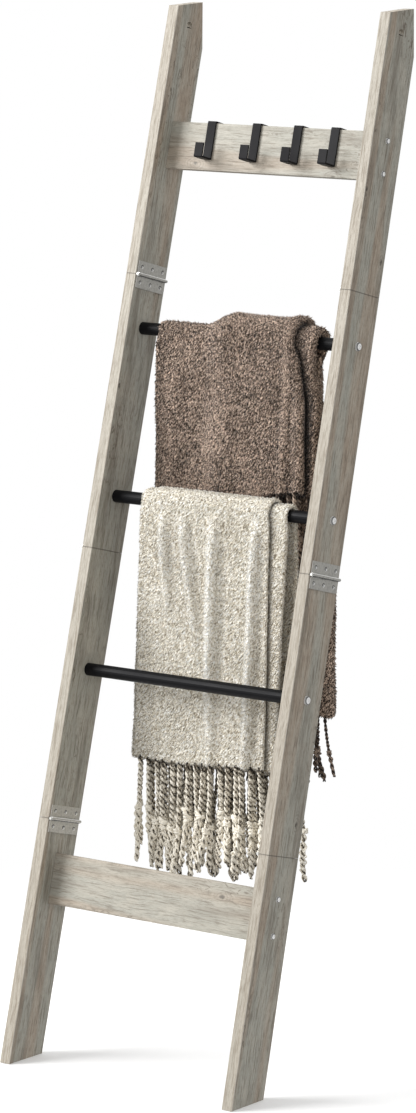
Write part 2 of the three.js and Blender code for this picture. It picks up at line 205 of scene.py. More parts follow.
def grey_oak(name, turn, edging, seams, wash=0.0):
    """Foil of grey-washed oak, with its grain along Z after the turn. A wash makes it paler all over."""
    finish, tree = new_finish(name)
    turned = tree.add("ShaderNodeMapping", {}, {"Vector": tree.place(), "Rotation": turn}).outputs[0]
    x, y, z = tree.split(turned)
    across = x + y

    def print_at(over, along, bend=0.0):
        """Coordinates on the foil, with so many features to a metre over and along the grain."""
        return tree.add("ShaderNodeCombineXYZ", {}, {0: (across + bend) * over, 1: z * along}).outputs[0]

    def tinted(share, tint):
        """The print so far, with a share of one of its tints over it."""
        return tree.mix(share, colour, GREY_OAK[tint])

    wander = (tree.noise(print_at(7, 5), detail=2, dimensions="2D") - 0.5) * 0.012
    plank = tree.step(tree.noise(print_at(19, 0.7, wander), detail=1, dimensions="2D"), 0.44, 0.56)
    cloud = tree.step(tree.noise(print_at(46, 14), detail=5, roughness=0.7, dimensions="2D"), 0.35, 0.70)
    streak = tree.noise(print_at(330, 17, wander), detail=6, roughness=0.72, dimensions="2D")
    fibre = tree.noise(print_at(1000, 70, wander), detail=3, roughness=0.7, dimensions="2D")
    crack = tree.noise(print_at(150, 45, wander), detail=4, roughness=0.7, distortion=1.2, dimensions="2D")

    colour = tree.mix(plank, GREY_OAK["cool"], GREY_OAK["warm"])
    colour = tinted(cloud * 0.55, "pale")
    colour = tinted(tree.step(streak, 0.49, 0.68) * 0.74, "dark")
    colour = tinted(tree.step(streak, 0.46, 0.28) * 0.60, "pale")
    colour = tinted(tree.step(fibre, 0.50, 0.70) * 0.60, "dark")
    patch = tree.step(tree.noise(print_at(16, 3.2), detail=2, dimensions="2D"), 0.52, 0.68)
    colour = tinted(tree.step(crack, 0.56, 0.64) * patch * 0.85, "dark")
    stain = tree.noise(print_at(34, 3.4, wander), detail=4, roughness=0.62, dimensions="2D")
    colour = tinted(tree.step(stain, 0.47, 0.74) * 0.50, "dark")

    cells = print_at(KNOTS["over"], KNOTS["along"], wander)
    knots = tree.add("ShaderNodeTexVoronoi", {"voronoi_dimensions": "2D"},
                     {"Vector": cells, "Scale": 1.0, "Randomness": 0.9})
    reach = Number(tree, knots.outputs["Distance"])
    lot = tree.add("ShaderNodeSeparateColor", {}, {0: knots.outputs["Color"]}).outputs[0]
    chosen = tree.step(Number(tree, lot), 0.50, 0.54)  # about half of the cells have a knot
    rings = tree.step(tree.maths("SINE", reach * KNOTS["rings"] + fibre * 5), 0.0, 1.0)
    halo = tree.step(reach + (cloud - 0.5) * 0.10, 0.12, 0.03) * chosen
    heart = tree.step(reach + (crack - 0.5) * 0.10, 0.030, 0.012) * chosen
    colour = tinted(halo * rings * 0.45, "dark")
    colour = tinted(heart * 0.90, "knot")
    colour = tinted(wash, "pale")

    if edging:
        wide_face = tree.step(tree.maths("ABSOLUTE", tree.facing()[0]), 0.4, 0.6)
        band = tree.mix(tree.step(streak, 0.44, 0.66) * 0.95, EDGING["plain"], EDGING["streak"])
        band = tree.mix(tree.step(fibre, 0.48, 0.70) * 0.75, band, EDGING["fibre"])
        colour = tree.mix((1 - wide_face) * 0.86, colour, band)
        # A painted highlight along the front corner of each side face.
        front = float(along_rail("left_rail_foot")[0][1])
        painted_edge_highlight = tree.step(y, front + 0.0022, front + 0.0010) * wide_face
        colour = tree.mix(painted_edge_highlight * 0.8, colour, EDGING["painted_edge_highlight"])
    start = float(along_rail("left_rail_foot")[1][2]) - SEAM_PLACES[0]
    for seam in seams:
        joint = tree.step(tree.maths("ABSOLUTE", z - (start + seam)), 0.0016, 0.0006)
        colour = tinted(joint * 0.45, "seam")
    surface(tree, Base_Color=colour, Roughness=tree.step(streak, 0.3, 0.8, 0.50, 0.68),
            Normal=tree.bump(fibre * 0.5 + streak, 0.0005, 0.7))
    return finish


rail_foil = grey_oak("rail_foil", (LEAN, 0, 0), edging=True, seams=SEAM_PLACES)
board_foil = grey_oak("board_foil", (LEAN, math.pi / 2, 0), edging=False, seams=(), wash=0.18)
for board in ("foot", "lower", "upper", "head"):
    paint(rail_foil, [f"left_rail_{board}", f"right_rail_{board}"])
paint(board_foil, ["top_board", "bottom_board"])

# ---- Rungs -------------------------------------------------------------------------------
# Three steel tubes with a closed end, bolted between the rails and powder coated in satin black: a fine, even
# grain with a soft shine.


def black_coat(name, colour, roughness, grain, depth):
    """Black powder coat with a grain of so many metres wide and deep, and a faint haze over it."""
    finish, tree = new_finish(name)
    place = tree.place()
    speck = tree.noise(place, 1 / grain, detail=2)
    haze = tree.noise(place, 14, detail=3)
    surface(tree, Base_Color=tree.mix(haze, colour, tuple(2.0 * c for c in colour)),
            Roughness=tree.step(haze, 0.3, 0.7, roughness - 0.05, roughness + 0.07), Specular_IOR_Level=0.11,
            Normal=tree.bump(speck, depth, 0.5))
    return finish


paint(black_coat("satin_black_tube", (0.0038, 0.0038, 0.0044), 0.46, 0.0009, 0.00008),
      ["rung_top", "rung_middle", "rung_bottom"])

# ---- Rung bolts and board screws -------------------------------------------------------------
# Zinc-plated steel with a domed head and a hex socket. The bolts run through a rail into a rung and the screws
# into the end of a board, and all of them are tightened against the rail's outer face.


# Painted shade, under rounded parts and on the shoulder of a domed head.
PAINTED_SHADE = (0.04, 0.04, 0.04)


def bare_steel(name, colour, roughness, scuff, top_highlight=0.0, shoulder_shade=0.0):
    """Plated steel with fine scuffs; scuff is how much darker they are. Rounded parts can have a painted
    highlight on top and painted shade below, and the shoulder of a domed head a ring of painted shade."""
    finish, tree = new_finish(name)
    worn = tree.noise(tree.place(), 260, detail=4, roughness=0.65)
    colour = tree.mix(tree.step(worn, 0.45, 0.75) * scuff, colour, tuple(0.35 * c for c in colour))
    rough = tree.step(worn, 0.3, 0.7, roughness, roughness + 0.16)
    metal = 1.0
    facing = tree.facing()
    square = tree.maths("ABSOLUTE", facing[0])  # 1 on a face that is square to the ladder's width
    if top_highlight:
        # A painted highlight on top of rounded parts, and painted shade beneath them.
        rounded = tree.step(square, 0.97, 0.85)
        above = tree.step(facing[2], -0.10, 0.20)
        colour = tree.mix(rounded * above, colour, (top_highlight, top_highlight, top_highlight * 0.98))
        colour = tree.mix(rounded * (1 - above) * 0.9, colour, PAINTED_SHADE)
        rough = rough - rounded * 0.18
        metal = 1 - rounded * above * 0.6
    if shoulder_shade:
        # A dark ring of painted shade on the shoulder of a domed head.
        shoulder = tree.step(square, 0.97, 0.90) * tree.step(square, 0.20, 0.40)
        colour = tree.mix(shoulder * shoulder_shade, colour, PAINTED_SHADE)
        metal = shoulder * 0.45 + 0.55
    surface(tree, Base_Color=colour, Metallic=metal, Roughness=rough, Normal=tree.bump(worn, 0.0001, 0.4))
    return finish


fixings = [name for name in nodes if name.endswith("_bolt") or "_screw_" in name]
# The domed heads get a ring of painted shade on their shoulders.
paint(bare_steel("zinc_plate", (0.97, 0.97, 0.96), 0.36, 0.1, shoulder_shade=0.85), fixings)

# ---- Hinges ------------------------------------------------------------------------------
# Pressed steel butt hinges over the rail seams, zinc plated and dull, with a pin through five knuckles, which
# have a painted highlight on top and painted shade beneath. Three countersunk screws with a small round recess
# hold each leaf.

leaves = [name for name in nodes if name.endswith("_leaf")]
paint(bare_steel("dull_hinge_plate", (0.53, 0.52, 0.485), 0.44, 0.45, top_highlight=0.95), leaves)
paint(bare_steel("hinge_pin_steel", (0.40, 0.40, 0.38), 0.42, 0.25),
      [name for name in nodes if name.endswith("_hinge_pin")])

HINGE_SCREW = {"head": 0.0034, "shank": 0.0016, "sink": 0.0016, "length": 0.0100, "point": 0.004,
               "proud": 0.0003, "rim": 0.0006, "recess": 0.0005, "leaf": 0.0015, "from_edge": 0.0100,
               "spacing": 0.029}


def add_object(name, mesh):
    """An object at the origin that shows the mesh."""
    made = bpy.data.objects.new(name, mesh)
    bpy.context.scene.collection.objects.link(made)
    return made


def make_object(name, points, faces, smooth=True):
    """A mesh object of these points and faces."""
    mesh = bpy.data.meshes.new(name)
    mesh.from_pydata([tuple(p) for p in points], [], [tuple(f) for f in faces])
    mesh.validate()
    mesh.polygons.foreach_set("use_smooth", [smooth] * len(mesh.polygons))
    return add_object(name, mesh)


def with_attribute(made, name, kind, values, domain="POINT"):
    """The object, with a named attribute on its mesh."""
    attribute = made.data.attributes.new(name, kind, domain)
    attribute.data.foreach_set("vector" if kind == "FLOAT_VECTOR" else "value", np.asarray(values).ravel())
    return made


def node_group(name, **sockets):
    """A Geometry Nodes group that takes and gives geometry, its named inputs, and its tree."""
    group = bpy.data.node_groups.new(name, "GeometryNodeTree")
    group.interface.new_socket("Geometry", in_out="INPUT", socket_type="NodeSocketGeometry")
    for socket, kind in sockets.items():
        group.interface.new_socket(socket, in_out="INPUT", socket_type=f"NodeSocket{kind}")
    group.interface.new_socket("Geometry", in_out="OUTPUT", socket_type="NodeSocketGeometry")
    tree = Tree(group)
    return group, tree, tree.add("NodeGroupInput").outputs


def evaluated(made):
    """The mesh that an object's modifiers make, as a plain one."""
    depsgraph = bpy.context.evaluated_depsgraph_get()
    return bpy.data.meshes.new_from_object(made.evaluated_get(depsgraph), preserve_all_data_layers=True,
                                           depsgraph=depsgraph)


def grown(name, carrier, group, **values):
    """What a Geometry Nodes group makes of the carrier, as a plain mesh object. The carrier is removed."""
    modifier = carrier.modifiers.new("grown", "NODES")
    modifier.node_group = group
    for item in group.interface.items_tree:
        if item.in_out == "INPUT" and item.name in values:
            modifier[item.identifier] = values[item.name]
    mesh = evaluated(carrier)
    mesh.name = name
    bpy.data.objects.remove(carrier)
    return add_object(name, mesh)


def turned_to(tree, facing, spin):
    """The rotation that takes Z to the facing, after a spin about Z."""
    aligned = tree.add("FunctionNodeAlignRotationToVector", {"axis": "Z"}, {"Vector": facing}).outputs[0]
    about = tree.add("ShaderNodeCombineXYZ", {}, {2: spin}).outputs[0]
    return tree.add("FunctionNodeRotateRotation", {"rotation_space": "LOCAL"},
                    {"Rotation": aligned, "Rotate By": about}).outputs[0]


def close_group(tree, placed, finish):
    """The end of a group: its copies are made real and get their finish."""
    solid = tree.add("GeometryNodeRealizeInstances", {}, {0: placed.outputs[0]})
    coated = tree.add("GeometryNodeSetMaterial", {}, {"Geometry": solid.outputs[0], "Material": finish})
    tree.add("NodeGroupOutput", {}, {0: coated.outputs[0]})


def scatter_group(name, parts):
    """Puts the part that a point's variant names on each point, turned to its facing and spun by its spin."""
    group, tree, given = node_group(name, Finish="Material", **{f"Part {i}": "Object" for i in range(parts)})
    choices = tree.add("GeometryNodeGeometryToInstance")
    for i in reversed(range(parts)):
        part = tree.add("GeometryNodeObjectInfo", {}, {"Object": given[f"Part {i}"], "As Instance": True})
        tree.tree.links.new(part.outputs["Geometry"], choices.inputs[0])

    def read(kind, attribute):
        """What each point stores under that name."""
        return tree.add("GeometryNodeInputNamedAttribute", {"data_type": kind}, {"Name": attribute}).outputs[0]

    placed = tree.add("GeometryNodeInstanceOnPoints", {}, {
        "Points": given["Geometry"], "Instance": choices.outputs[0], "Pick Instance": True,
        "Instance Index": read("INT", "variant"), "Scale": read("FLOAT_VECTOR", "size"),
        "Rotation": turned_to(tree, read("FLOAT_VECTOR", "facing"), read("FLOAT", "spin"))})
    close_group(tree, placed, given["Finish"])
    return group


def scattered(name, places, parts, finish):
    """Copies of the parts at the places, each a dict of point, facing, size, spin, variant and shade."""
    carrier = make_object(name + "_places", [place["point"] for place in places], [])
    for stored, kind in (("facing", "FLOAT_VECTOR"), ("size", "FLOAT_VECTOR"), ("spin", "FLOAT"),
                         ("variant", "INT"), ("shade", "FLOAT")):
        with_attribute(carrier, stored, kind, [place[stored] for place in places])
    group = scatter_group(name + "_nodes", len(parts))
    made = grown(name, carrier, group, Finish=finish, **{f"Part {i}": part for i, part in enumerate(parts)})
    for part in parts:
        bpy.data.objects.remove(part)
    return made


def lathe(profile, sides):
    """Points and faces of a profile of (radius, height) turned about Z. A radius of 0 closes it."""
    points, faces, rings = [], [], []
    angles = [2 * math.pi * i / sides for i in range(sides)]
    for radius, height in profile:
        count = 1 if radius == 0 else sides
        rings.append(range(len(points), len(points) + count))
        points += [(radius * math.cos(angle), radius * math.sin(angle), height) for angle in angles[:count]]
    for low, high in zip(rings, rings[1:]):
        for i in range(sides):
            j = (i + 1) % sides
            corners = [low[i % len(low)], low[j % len(low)], high[j % len(high)], high[i % len(high)]]
            faces.append(tuple(dict.fromkeys(corners)))
    return points, faces


cut = HINGE_SCREW
tip, top = -cut["length"], cut["proud"]
screw_points, screw_faces = lathe([
    (0, tip), (cut["shank"] * 0.6, tip + cut["point"] / 2), (cut["shank"], tip + cut["point"]),
    (cut["shank"], -cut["sink"] - cut["rim"]), (cut["head"] * 0.84, -cut["rim"]), (cut["head"] * 0.50, top),
    (cut["head"] * 0.20, top), (cut["head"] * 0.12, -cut["recess"]), (0, -cut["rim"])], 16)
screw = make_object("hinge_screw", screw_points, screw_faces)
# The screw heads get a ring of painted shade on their shoulders.
screw_steel = bare_steel("screw_steel", (0.92, 0.92, 0.90), 0.45, 0.1, shoulder_shade=0.95)
screw_places = []
for leaf in leaves:
    low, high = along_rail(leaf)
    outward = 1 if leaf.startswith("right") == ("_middle_" in leaf) else -1  # the middle hinges face out
    along = high[2] - cut["from_edge"] if "upper_leaf" in leaf else low[2] + cut["from_edge"]
    face = (low[0] if outward > 0 else high[0]) + outward * cut["leaf"]
    for step in (-1, 0, 1):
        depth = (low[1] + high[1]) / 2 + step * cut["spacing"]
        point = (face, depth * math.cos(LEAN) + along * math.sin(LEAN),
                 along * math.cos(LEAN) - depth * math.sin(LEAN))
        screw_places.append({"point": point, "facing": (outward, 0, 0), "size": (1, 1, 1),
                             "spin": 0.7 * len(screw_places), "variant": 0, "shade": 0.5})
hinge_screws = scattered("hinge_screws", screw_places, [screw], screw_steel)
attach(hinge_screws, "ladder")

# ---- Hooks -------------------------------------------------------------------------------
# Flat steel bar bent over the top board and up again in front, powder coated in matt black. Nothing fixes a
# hook: it hangs by its bend and slides along the board.

paint(black_coat("matt_black_bar", (0.0058, 0.0054, 0.0062), 0.55, 0.0012, 0.00015),
      [f"hook_{i}" for i in (1, 2, 3, 4)])

# ---- Brown throw -------------------------------------------------------------------------
# Thick heathered plush, folded lengthwise in five and hung over the top rung, with most of it at the back.
# Its pile is a piece of its own on each side of the cloth, of short locks that lie down and to one side.


def ease(t):
    """A smooth rise from 0 to 1 as t goes from 0 to 1."""
    t = np.clip(t, 0, 1)
    return t * t * (3 - 2 * t)


def drift(x, z, seed, length):
    """A smooth random height of about -1 to 1, with features of that length."""
    draw = np.random.default_rng(seed)
    total = 0
    for _ in range(7):
        turn, phase = draw.uniform(0, math.pi), draw.uniform(0, 2 * math.pi)
        reach = length * draw.uniform(0.7, 1.8)
        total = total + np.sin(2 * math.pi * (x * math.cos(turn) + z * math.sin(turn)) / reach + phase)
    return total / 4


def lies(table, t):
    """The value in a table of (place, value) at each place t. Places in front of the rung are negative."""
    table = np.array(sorted(table))
    return np.interp(t, table[:, 0], table[:, 1])


def rung_axis(name):
    """The y and z of a rung's axis, and its radius."""
    low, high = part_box(name)
    return (low.y + high.y) / 2, (low.z + high.z) / 2, (high.z - low.z) / 2


SETTLED = {"pitch": 0.06, "folds": 0.05, "creases": 0.12}  # so far from the rung, its weight no longer shows
OVER_RUNG, ROUND_FOLD = 15, 7  # points over the rung and round the bend of a fold
PRESSED = 0.4  # how much of a fold's swelling the rung presses out
LEFT_SWELL = 0.25  # a left fold's swelling beside a right one's
VALLEY = 0.45  # how deep the cloth dips beside a ridge
HIGHLIGHT_OFF, HIGHLIGHT_WIDTH = 0.1, 0.42  # where a ridge's crest gets a painted highlight, and how wide, in ridge widths
HEM_WAVE, STAGGER = 0.0045, 0.6  # how uneven a hem is, and how much the outer layers ride up


def folded(throw):
    """The middle of the folded cloth as a grid of points: a row for each place along it, a column for each
    across. Layers are listed from the outside in. Each rests on those inside it, and they all rest on the
    rung."""
    front, back, step = throw["front"], throw["back"], throw["grid"]
    down = np.linspace(front, 0, round(front / step) + 1)
    over = np.linspace(math.pi, 0, OVER_RUNG)[1:-1]
    up = np.linspace(0, back, round(back / step) + 1)
    angle = np.concatenate([np.full(len(down), math.pi), over, np.zeros(len(up))])[:, None]
    drop = np.concatenate([down, 0 * over, up])[:, None]
    t = drop * np.cos(angle)
    on_rung = np.exp(-((drop / SETTLED["pitch"]) ** 2))
    pitch = throw["pitch"] + (throw["pitch_on_rung"] - throw["pitch"]) * on_rung
    inset = throw["inset"]  # the bend of a fold and its pile stand out past its edge by this much
    layers = [(lies(left, t) + 0.5 * inset, lies(right, t) - inset) for left, right in throw["layers"]]
    last = len(layers) - 1
    swell = throw["fold_swell"] * (1 - PRESSED * np.exp(-((drop / SETTLED["folds"]) ** 2)))

    def stands(k, x):
        """How far from the rung the middle of layer k is, at x."""
        height = pitch / 2 + 0 * x
        spread = throw["tent"]
        for j in range(last, k, -1):
            left, right = layers[j]
            height = height + pitch * ease((x - left + spread) / spread) * ease((right + spread - x) / spread)
        for j in range(last - 1, k - 1, -1):  # a fold is thicker than the layers it joins
            right_fold = (j + throw["first_fold"]) % 2
            share = LEFT_SWELL + (1 - LEFT_SWELL) * right_fold
            off = (x - layers[j][right_fold]) / throw["fold_width"]
            height = height + swell * share * np.exp(-(off**2))
        return height

    columns, heights, spans = [], [], []
    for k, (left, right) in enumerate(layers):
        ends = (left, right) if (k + throw["first_fold"]) % 2 else (right, left)
        fine = step if k in throw["seen"] else 2.2 * step
        count = max(8, round(float(np.mean(right - left)) / fine))
        share = np.linspace(0, 1, count + 1)[None]
        x = ends[0] + (ends[1] - ends[0]) * share
        spans.append((len(columns), len(columns) + count + 1))
        columns += list(x.T)
        heights += list(stands(k, x).T)
        if k < last:
            outer, inner = stands(k, ends[1]), stands(k + 1, ends[1])
            outward = 1 if (k + throw["first_fold"]) % 2 else -1
            for bend in np.linspace(0, math.pi, ROUND_FOLD)[1:-1]:
                columns.append((ends[1] + outward * (outer - inner) / 2 * math.sin(bend))[:, 0])
                heights.append(((outer + inner) / 2 + (outer - inner) / 2 * math.cos(bend))[:, 0])
    x, height = np.array(columns).T, np.array(heights).T
    crease = throw["drift"] * drift(x, t, throw["seed"], 0.13) * ease(drop / SETTLED["creases"])
    # Painted light: a painted highlight along each ridge's crest, and painted shade on inner layers in front.
    crest = 0 * crease
    for ridge in throw["ridges"]:
        off = (x - lies(ridge["path"], t)) / ridge["width"]
        high = lies(ridge["height"], t)
        crest = crest + high / throw["crest"] * np.exp(-(((off + HIGHLIGHT_OFF) / HIGHLIGHT_WIDTH) ** 2) / 2)
        crease = crease + high * (1 - VALLEY * off**2) * np.exp(-(off**2) / 2)
    whole = np.where(np.cos(angle) < 0, front, back)
    rise = np.where(np.cos(angle) < 0, lies(throw["front_hem"], x), 0)
    hem = (drop / whole) ** 2 * (HEM_WAVE * drift(x, 0 * x, throw["seed"] + 1, 0.16) - rise)
    stagger = STAGGER * (height.max() - height) * drop / whole
    cy, cz, radius = rung_axis(throw["rung"])
    reach = radius + throw["clearance"] + height + crease * ease(drop / SETTLED["folds"])
    y, z = cy + reach * np.cos(angle), cz + reach * np.sin(angle) - drop - hem - stagger
    points = np.stack([x + 0 * reach, y, z], 2)
    for first, last in spans[1:]:  # in front, an inner layer is in the shade of the outer one
        crest[:, first:last] = -throw["behind"] * ease(-t / SETTLED["creases"])
    return points, spans, np.clip(crest, -1, 1)


def cloth(throw, points, crest):
    """The closed sheet: the folded grid given its thickness, with each point's painted light: a painted
    highlight on crests and painted shade on inner layers in front.
    """
    rows, across = points.shape[:2]
    corner = (np.arange(rows - 1)[:, None] * across + np.arange(across - 1)).ravel()
    faces = np.stack([corner, corner + 1, corner + across + 1, corner + across], 1)
    sheet = with_attribute(make_object(throw["name"], points.reshape(-1, 3), faces), "crest", "FLOAT", crest)
    thick = sheet.modifiers.new("thickness", "SOLIDIFY")
    thick.thickness, thick.offset = throw["thickness"], 0
    mesh = evaluated(sheet)
    sheet.modifiers.clear()
    sheet.data = mesh
    mesh.name = throw["name"]
    return sheet


def rays(mesh):
    """What tells how far away a mesh is along a ray."""
    return BVHTree.FromPolygons([v.co for v in mesh.vertices], [p.vertices for p in mesh.polygons])


PILE_ROOM = {"cloth": 0.012, "rung": 0.004, "ahead": 0.006}  # a lock needs so much room before it


def open_faces(throw, sheet):
    """The faces that have room for pile in front of them, with the centres and normals of all faces."""
    mesh = sheet.data
    count = len(mesh.polygons)
    centres, normals = np.zeros(count * 3), np.zeros(count * 3)
    mesh.polygons.foreach_get("center", centres)
    mesh.polygons.foreach_get("normal", normals)
    centres, normals = centres.reshape(-1, 3), normals.reshape(-1, 3)
    tree = rays(mesh)
    cy, cz, radius = rung_axis(throw["rung"])
    ahead = centres + normals * PILE_ROOM["ahead"]
    clear = np.hypot(ahead[:, 1] - cy, ahead[:, 2] - cz) > radius + PILE_ROOM["rung"]
    starts = centres + normals * 0.0004  # just off the face itself
    kept = [i for i in np.nonzero(clear)[0]
            if tree.ray_cast(Vector(starts[i]), Vector(normals[i]), PILE_ROOM["cloth"])[0] is None]
    return kept, centres, normals


NOOK_WAYS = ((1, 0, 0), (-1, 0, 0), (0, 0, 1), (0, 0, -1), (0.6, 0, 0.6), (-0.6, 0, 0.6))
NOOK_SLANT, NOOK_GAIN = 1.2, 2.2  # how far the ways slant off the normal, and how soon a nook counts as full


def with_nook_shade(sheet, reach):
    """The sheet, with how much of the space in front of each point is taken, for painted shade between layers."""
    mesh = sheet.data
    tree = rays(mesh)
    sideways = [Vector(way) for way in NOOK_WAYS]
    taken = []
    for vertex in mesh.vertices:
        start = vertex.co + vertex.normal * 0.0008
        ways = [(vertex.normal + side * NOOK_SLANT).normalized() for side in sideways] + [vertex.normal]
        hits = [tree.ray_cast(start, way, reach)[3] for way in ways]
        taken.append(sum(1 - hit / reach for hit in hits if hit is not None) / len(ways))
    return with_attribute(sheet, "nook", "FLOAT", np.clip(np.array(taken) * NOOK_GAIN, 0, 1))


def lock_mesh(name, length, root, curl):
    """A bent lock of pile: a three-sided spike along Z, with how far up it a point is."""
    angles = [2 * math.pi * i / 3 for i in range(3)]
    points = [(root * math.cos(angle), root * math.sin(angle), 0) for angle in angles] + [(curl, 0, length)]
    faces = [(2, 1, 0)] + [(i, (i + 1) % 3, 3) for i in range(3)]
    return with_attribute(make_object(name, points, faces), "tip", "FLOAT", [0, 0, 0, 1])


def pile_group():
    """Plants locks on the carrier's faces, along its lie and in random sizes."""
    group, tree, given = node_group("pile_nodes", Lock="Object", Density="Float", Stray="Float",
                                    Finish="Material", Seed="Int")
    spread = tree.add("GeometryNodeDistributePointsOnFaces", {}, {
        "Mesh": given["Geometry"], "Density": given["Density"], "Seed": given["Seed"]})

    def chance(kind, low, high, seed):
        """A random value for each point."""
        node = tree.add("FunctionNodeRandomValue", {"data_type": kind})
        used = {socket.name: socket for socket in node.inputs if socket.enabled}
        used["Min"].default_value, used["Max"].default_value, used["Seed"].default_value = low, high, seed
        return next(socket for socket in node.outputs if socket.enabled)

    shade, spin = chance("FLOAT", 0.0, 1.0, 5), chance("FLOAT", 0.0, 6.28, 7)
    off, size = chance("FLOAT_VECTOR", (-1, -1, -1), (1, 1, 1), 6), chance("FLOAT", 0.72, 1.25, 8)
    shaded = tree.add("GeometryNodeStoreNamedAttribute", {"data_type": "FLOAT", "domain": "POINT"},
                      {"Geometry": spread.outputs["Points"], "Name": "shade", "Value": shade})
    lie = tree.add("GeometryNodeInputNamedAttribute", {"data_type": "FLOAT_VECTOR"}, {"Name": "lie"})
    stray = tree.add("ShaderNodeVectorMath", {"operation": "MULTIPLY_ADD"},
                     {0: off, 1: given["Stray"], 2: lie.outputs[0]}).outputs[0]
    lock = tree.add("GeometryNodeObjectInfo", {}, {"Object": given["Lock"], "As Instance": True})
    placed = tree.add("GeometryNodeInstanceOnPoints", {}, {
        "Points": shaded.outputs[0], "Instance": lock.outputs["Geometry"],
        "Rotation": turned_to(tree, stray, spin), "Scale": size})
    close_group(tree, placed, given["Finish"])
    return group


PILE_NODES = pile_group()


def pile(throw, sheet, side, lock, finish, body):
    """The pile on the front (-1) or back (1) of a sheet, in a piece of its own. The throw says how many locks."""
    kept, centres, normals = open_faces(throw, sheet)
    cy = rung_axis(throw["rung"])[0]
    mesh = sheet.data
    kept = [i for i in kept if (centres[i][1] - cy) * side > 0]
    area = sum(mesh.polygons[i].area for i in kept)
    used = sorted({v for i in kept for v in mesh.polygons[i].vertices})
    place = {v: n for n, v in enumerate(used)}
    points = np.array([mesh.vertices[v].co for v in used])
    normal = np.array([mesh.vertices[v].normal for v in used])
    name = f"{throw['name']}_pile_{'front' if side < 0 else 'back'}"
    faces = [[place[v] for v in mesh.polygons[i].vertices] for i in kept]
    carrier = make_object(name + "_ground", points, faces)
    turn = throw["lie_turn"] + throw["lie_swing"] * drift(points[:, 0], points[:, 2], throw["seed"] + 3, 0.09)
    down = np.stack([np.sin(turn), 0 * turn, -np.cos(turn)], 1)
    down -= normal * (down * normal).sum(1)[:, None]
    lie = normal * throw["lie_rise"] + down
    with_attribute(carrier, "lie", "FLOAT_VECTOR", lie / np.linalg.norm(lie, axis=1)[:, None])
    for attribute in ("nook", "crest"):
        values = mesh.attributes[attribute].data
        with_attribute(carrier, attribute, "FLOAT", [values[v].value for v in used])
    density = throw["locks"] / area * 1
    made = grown(name, carrier, PILE_NODES, Lock=lock, Density=density, Stray=throw["stray"], Finish=finish,
                 Seed=throw["seed"] + side)
    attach(made, body)
    return made


def wool(name, colours, stroke, slant, contrast, own=0.0, tip=0.0, cloudy=0.7):
    """Spun fibre in strokes of so many metres wide and long. A lock or rope may differ by its own shade, which is
    random, and for the back and inner tassels also painted shade. Each gets painted shade at its root or in its
    lay and under the hem. Nooks get painted shade, crests a painted highlight, and inner layers in front painted
    shade."""
    finish, tree = new_finish(name)
    place = tree.place()
    wide, long = stroke
    along = tree.add("ShaderNodeMapping", {"vector_type": "TEXTURE"},
                     {"Vector": place, "Rotation": (0, slant, 0), "Scale": (wide, wide, long)}).outputs[0]
    speck = tree.noise(along, detail=2, roughness=0.55, distortion=0.7)
    cloud = tree.noise(place, 15, detail=3)
    shade = (speck - 0.5) * contrast + (cloud - 0.5) * cloudy + 0.5
    # Painted shade at a lock's root, in a rope's lay and under the hem; a rope's own shade is partly painted
    # shade.
    for attribute, weight in (("shade", own), ("tip", tip)):
        if weight:
            shade = shade + (tree.stored(attribute) - 0.5) * weight
    stops = list(zip((0.08, 0.50, 0.92), colours))
    # Painted light lightens the crests and darkens inner layers in front.
    ramp = tree.add("ShaderNodeValToRGB", {"stops": stops}, {0: shade + tree.stored("crest") * 0.42})
    # Painted shade in the nooks.
    colour = tree.mix(tree.stored("nook") * 0.9, ramp.outputs[0], tuple(0.5 * c for c in colours[0]))
    surface(tree, Base_Color=colour, Roughness=0.92, Sheen_Weight=0.25, Sheen_Roughness=0.4,
            Specular_IOR_Level=0.25, Normal=tree.bump(speck, 0.0012, 0.8))
    return finish


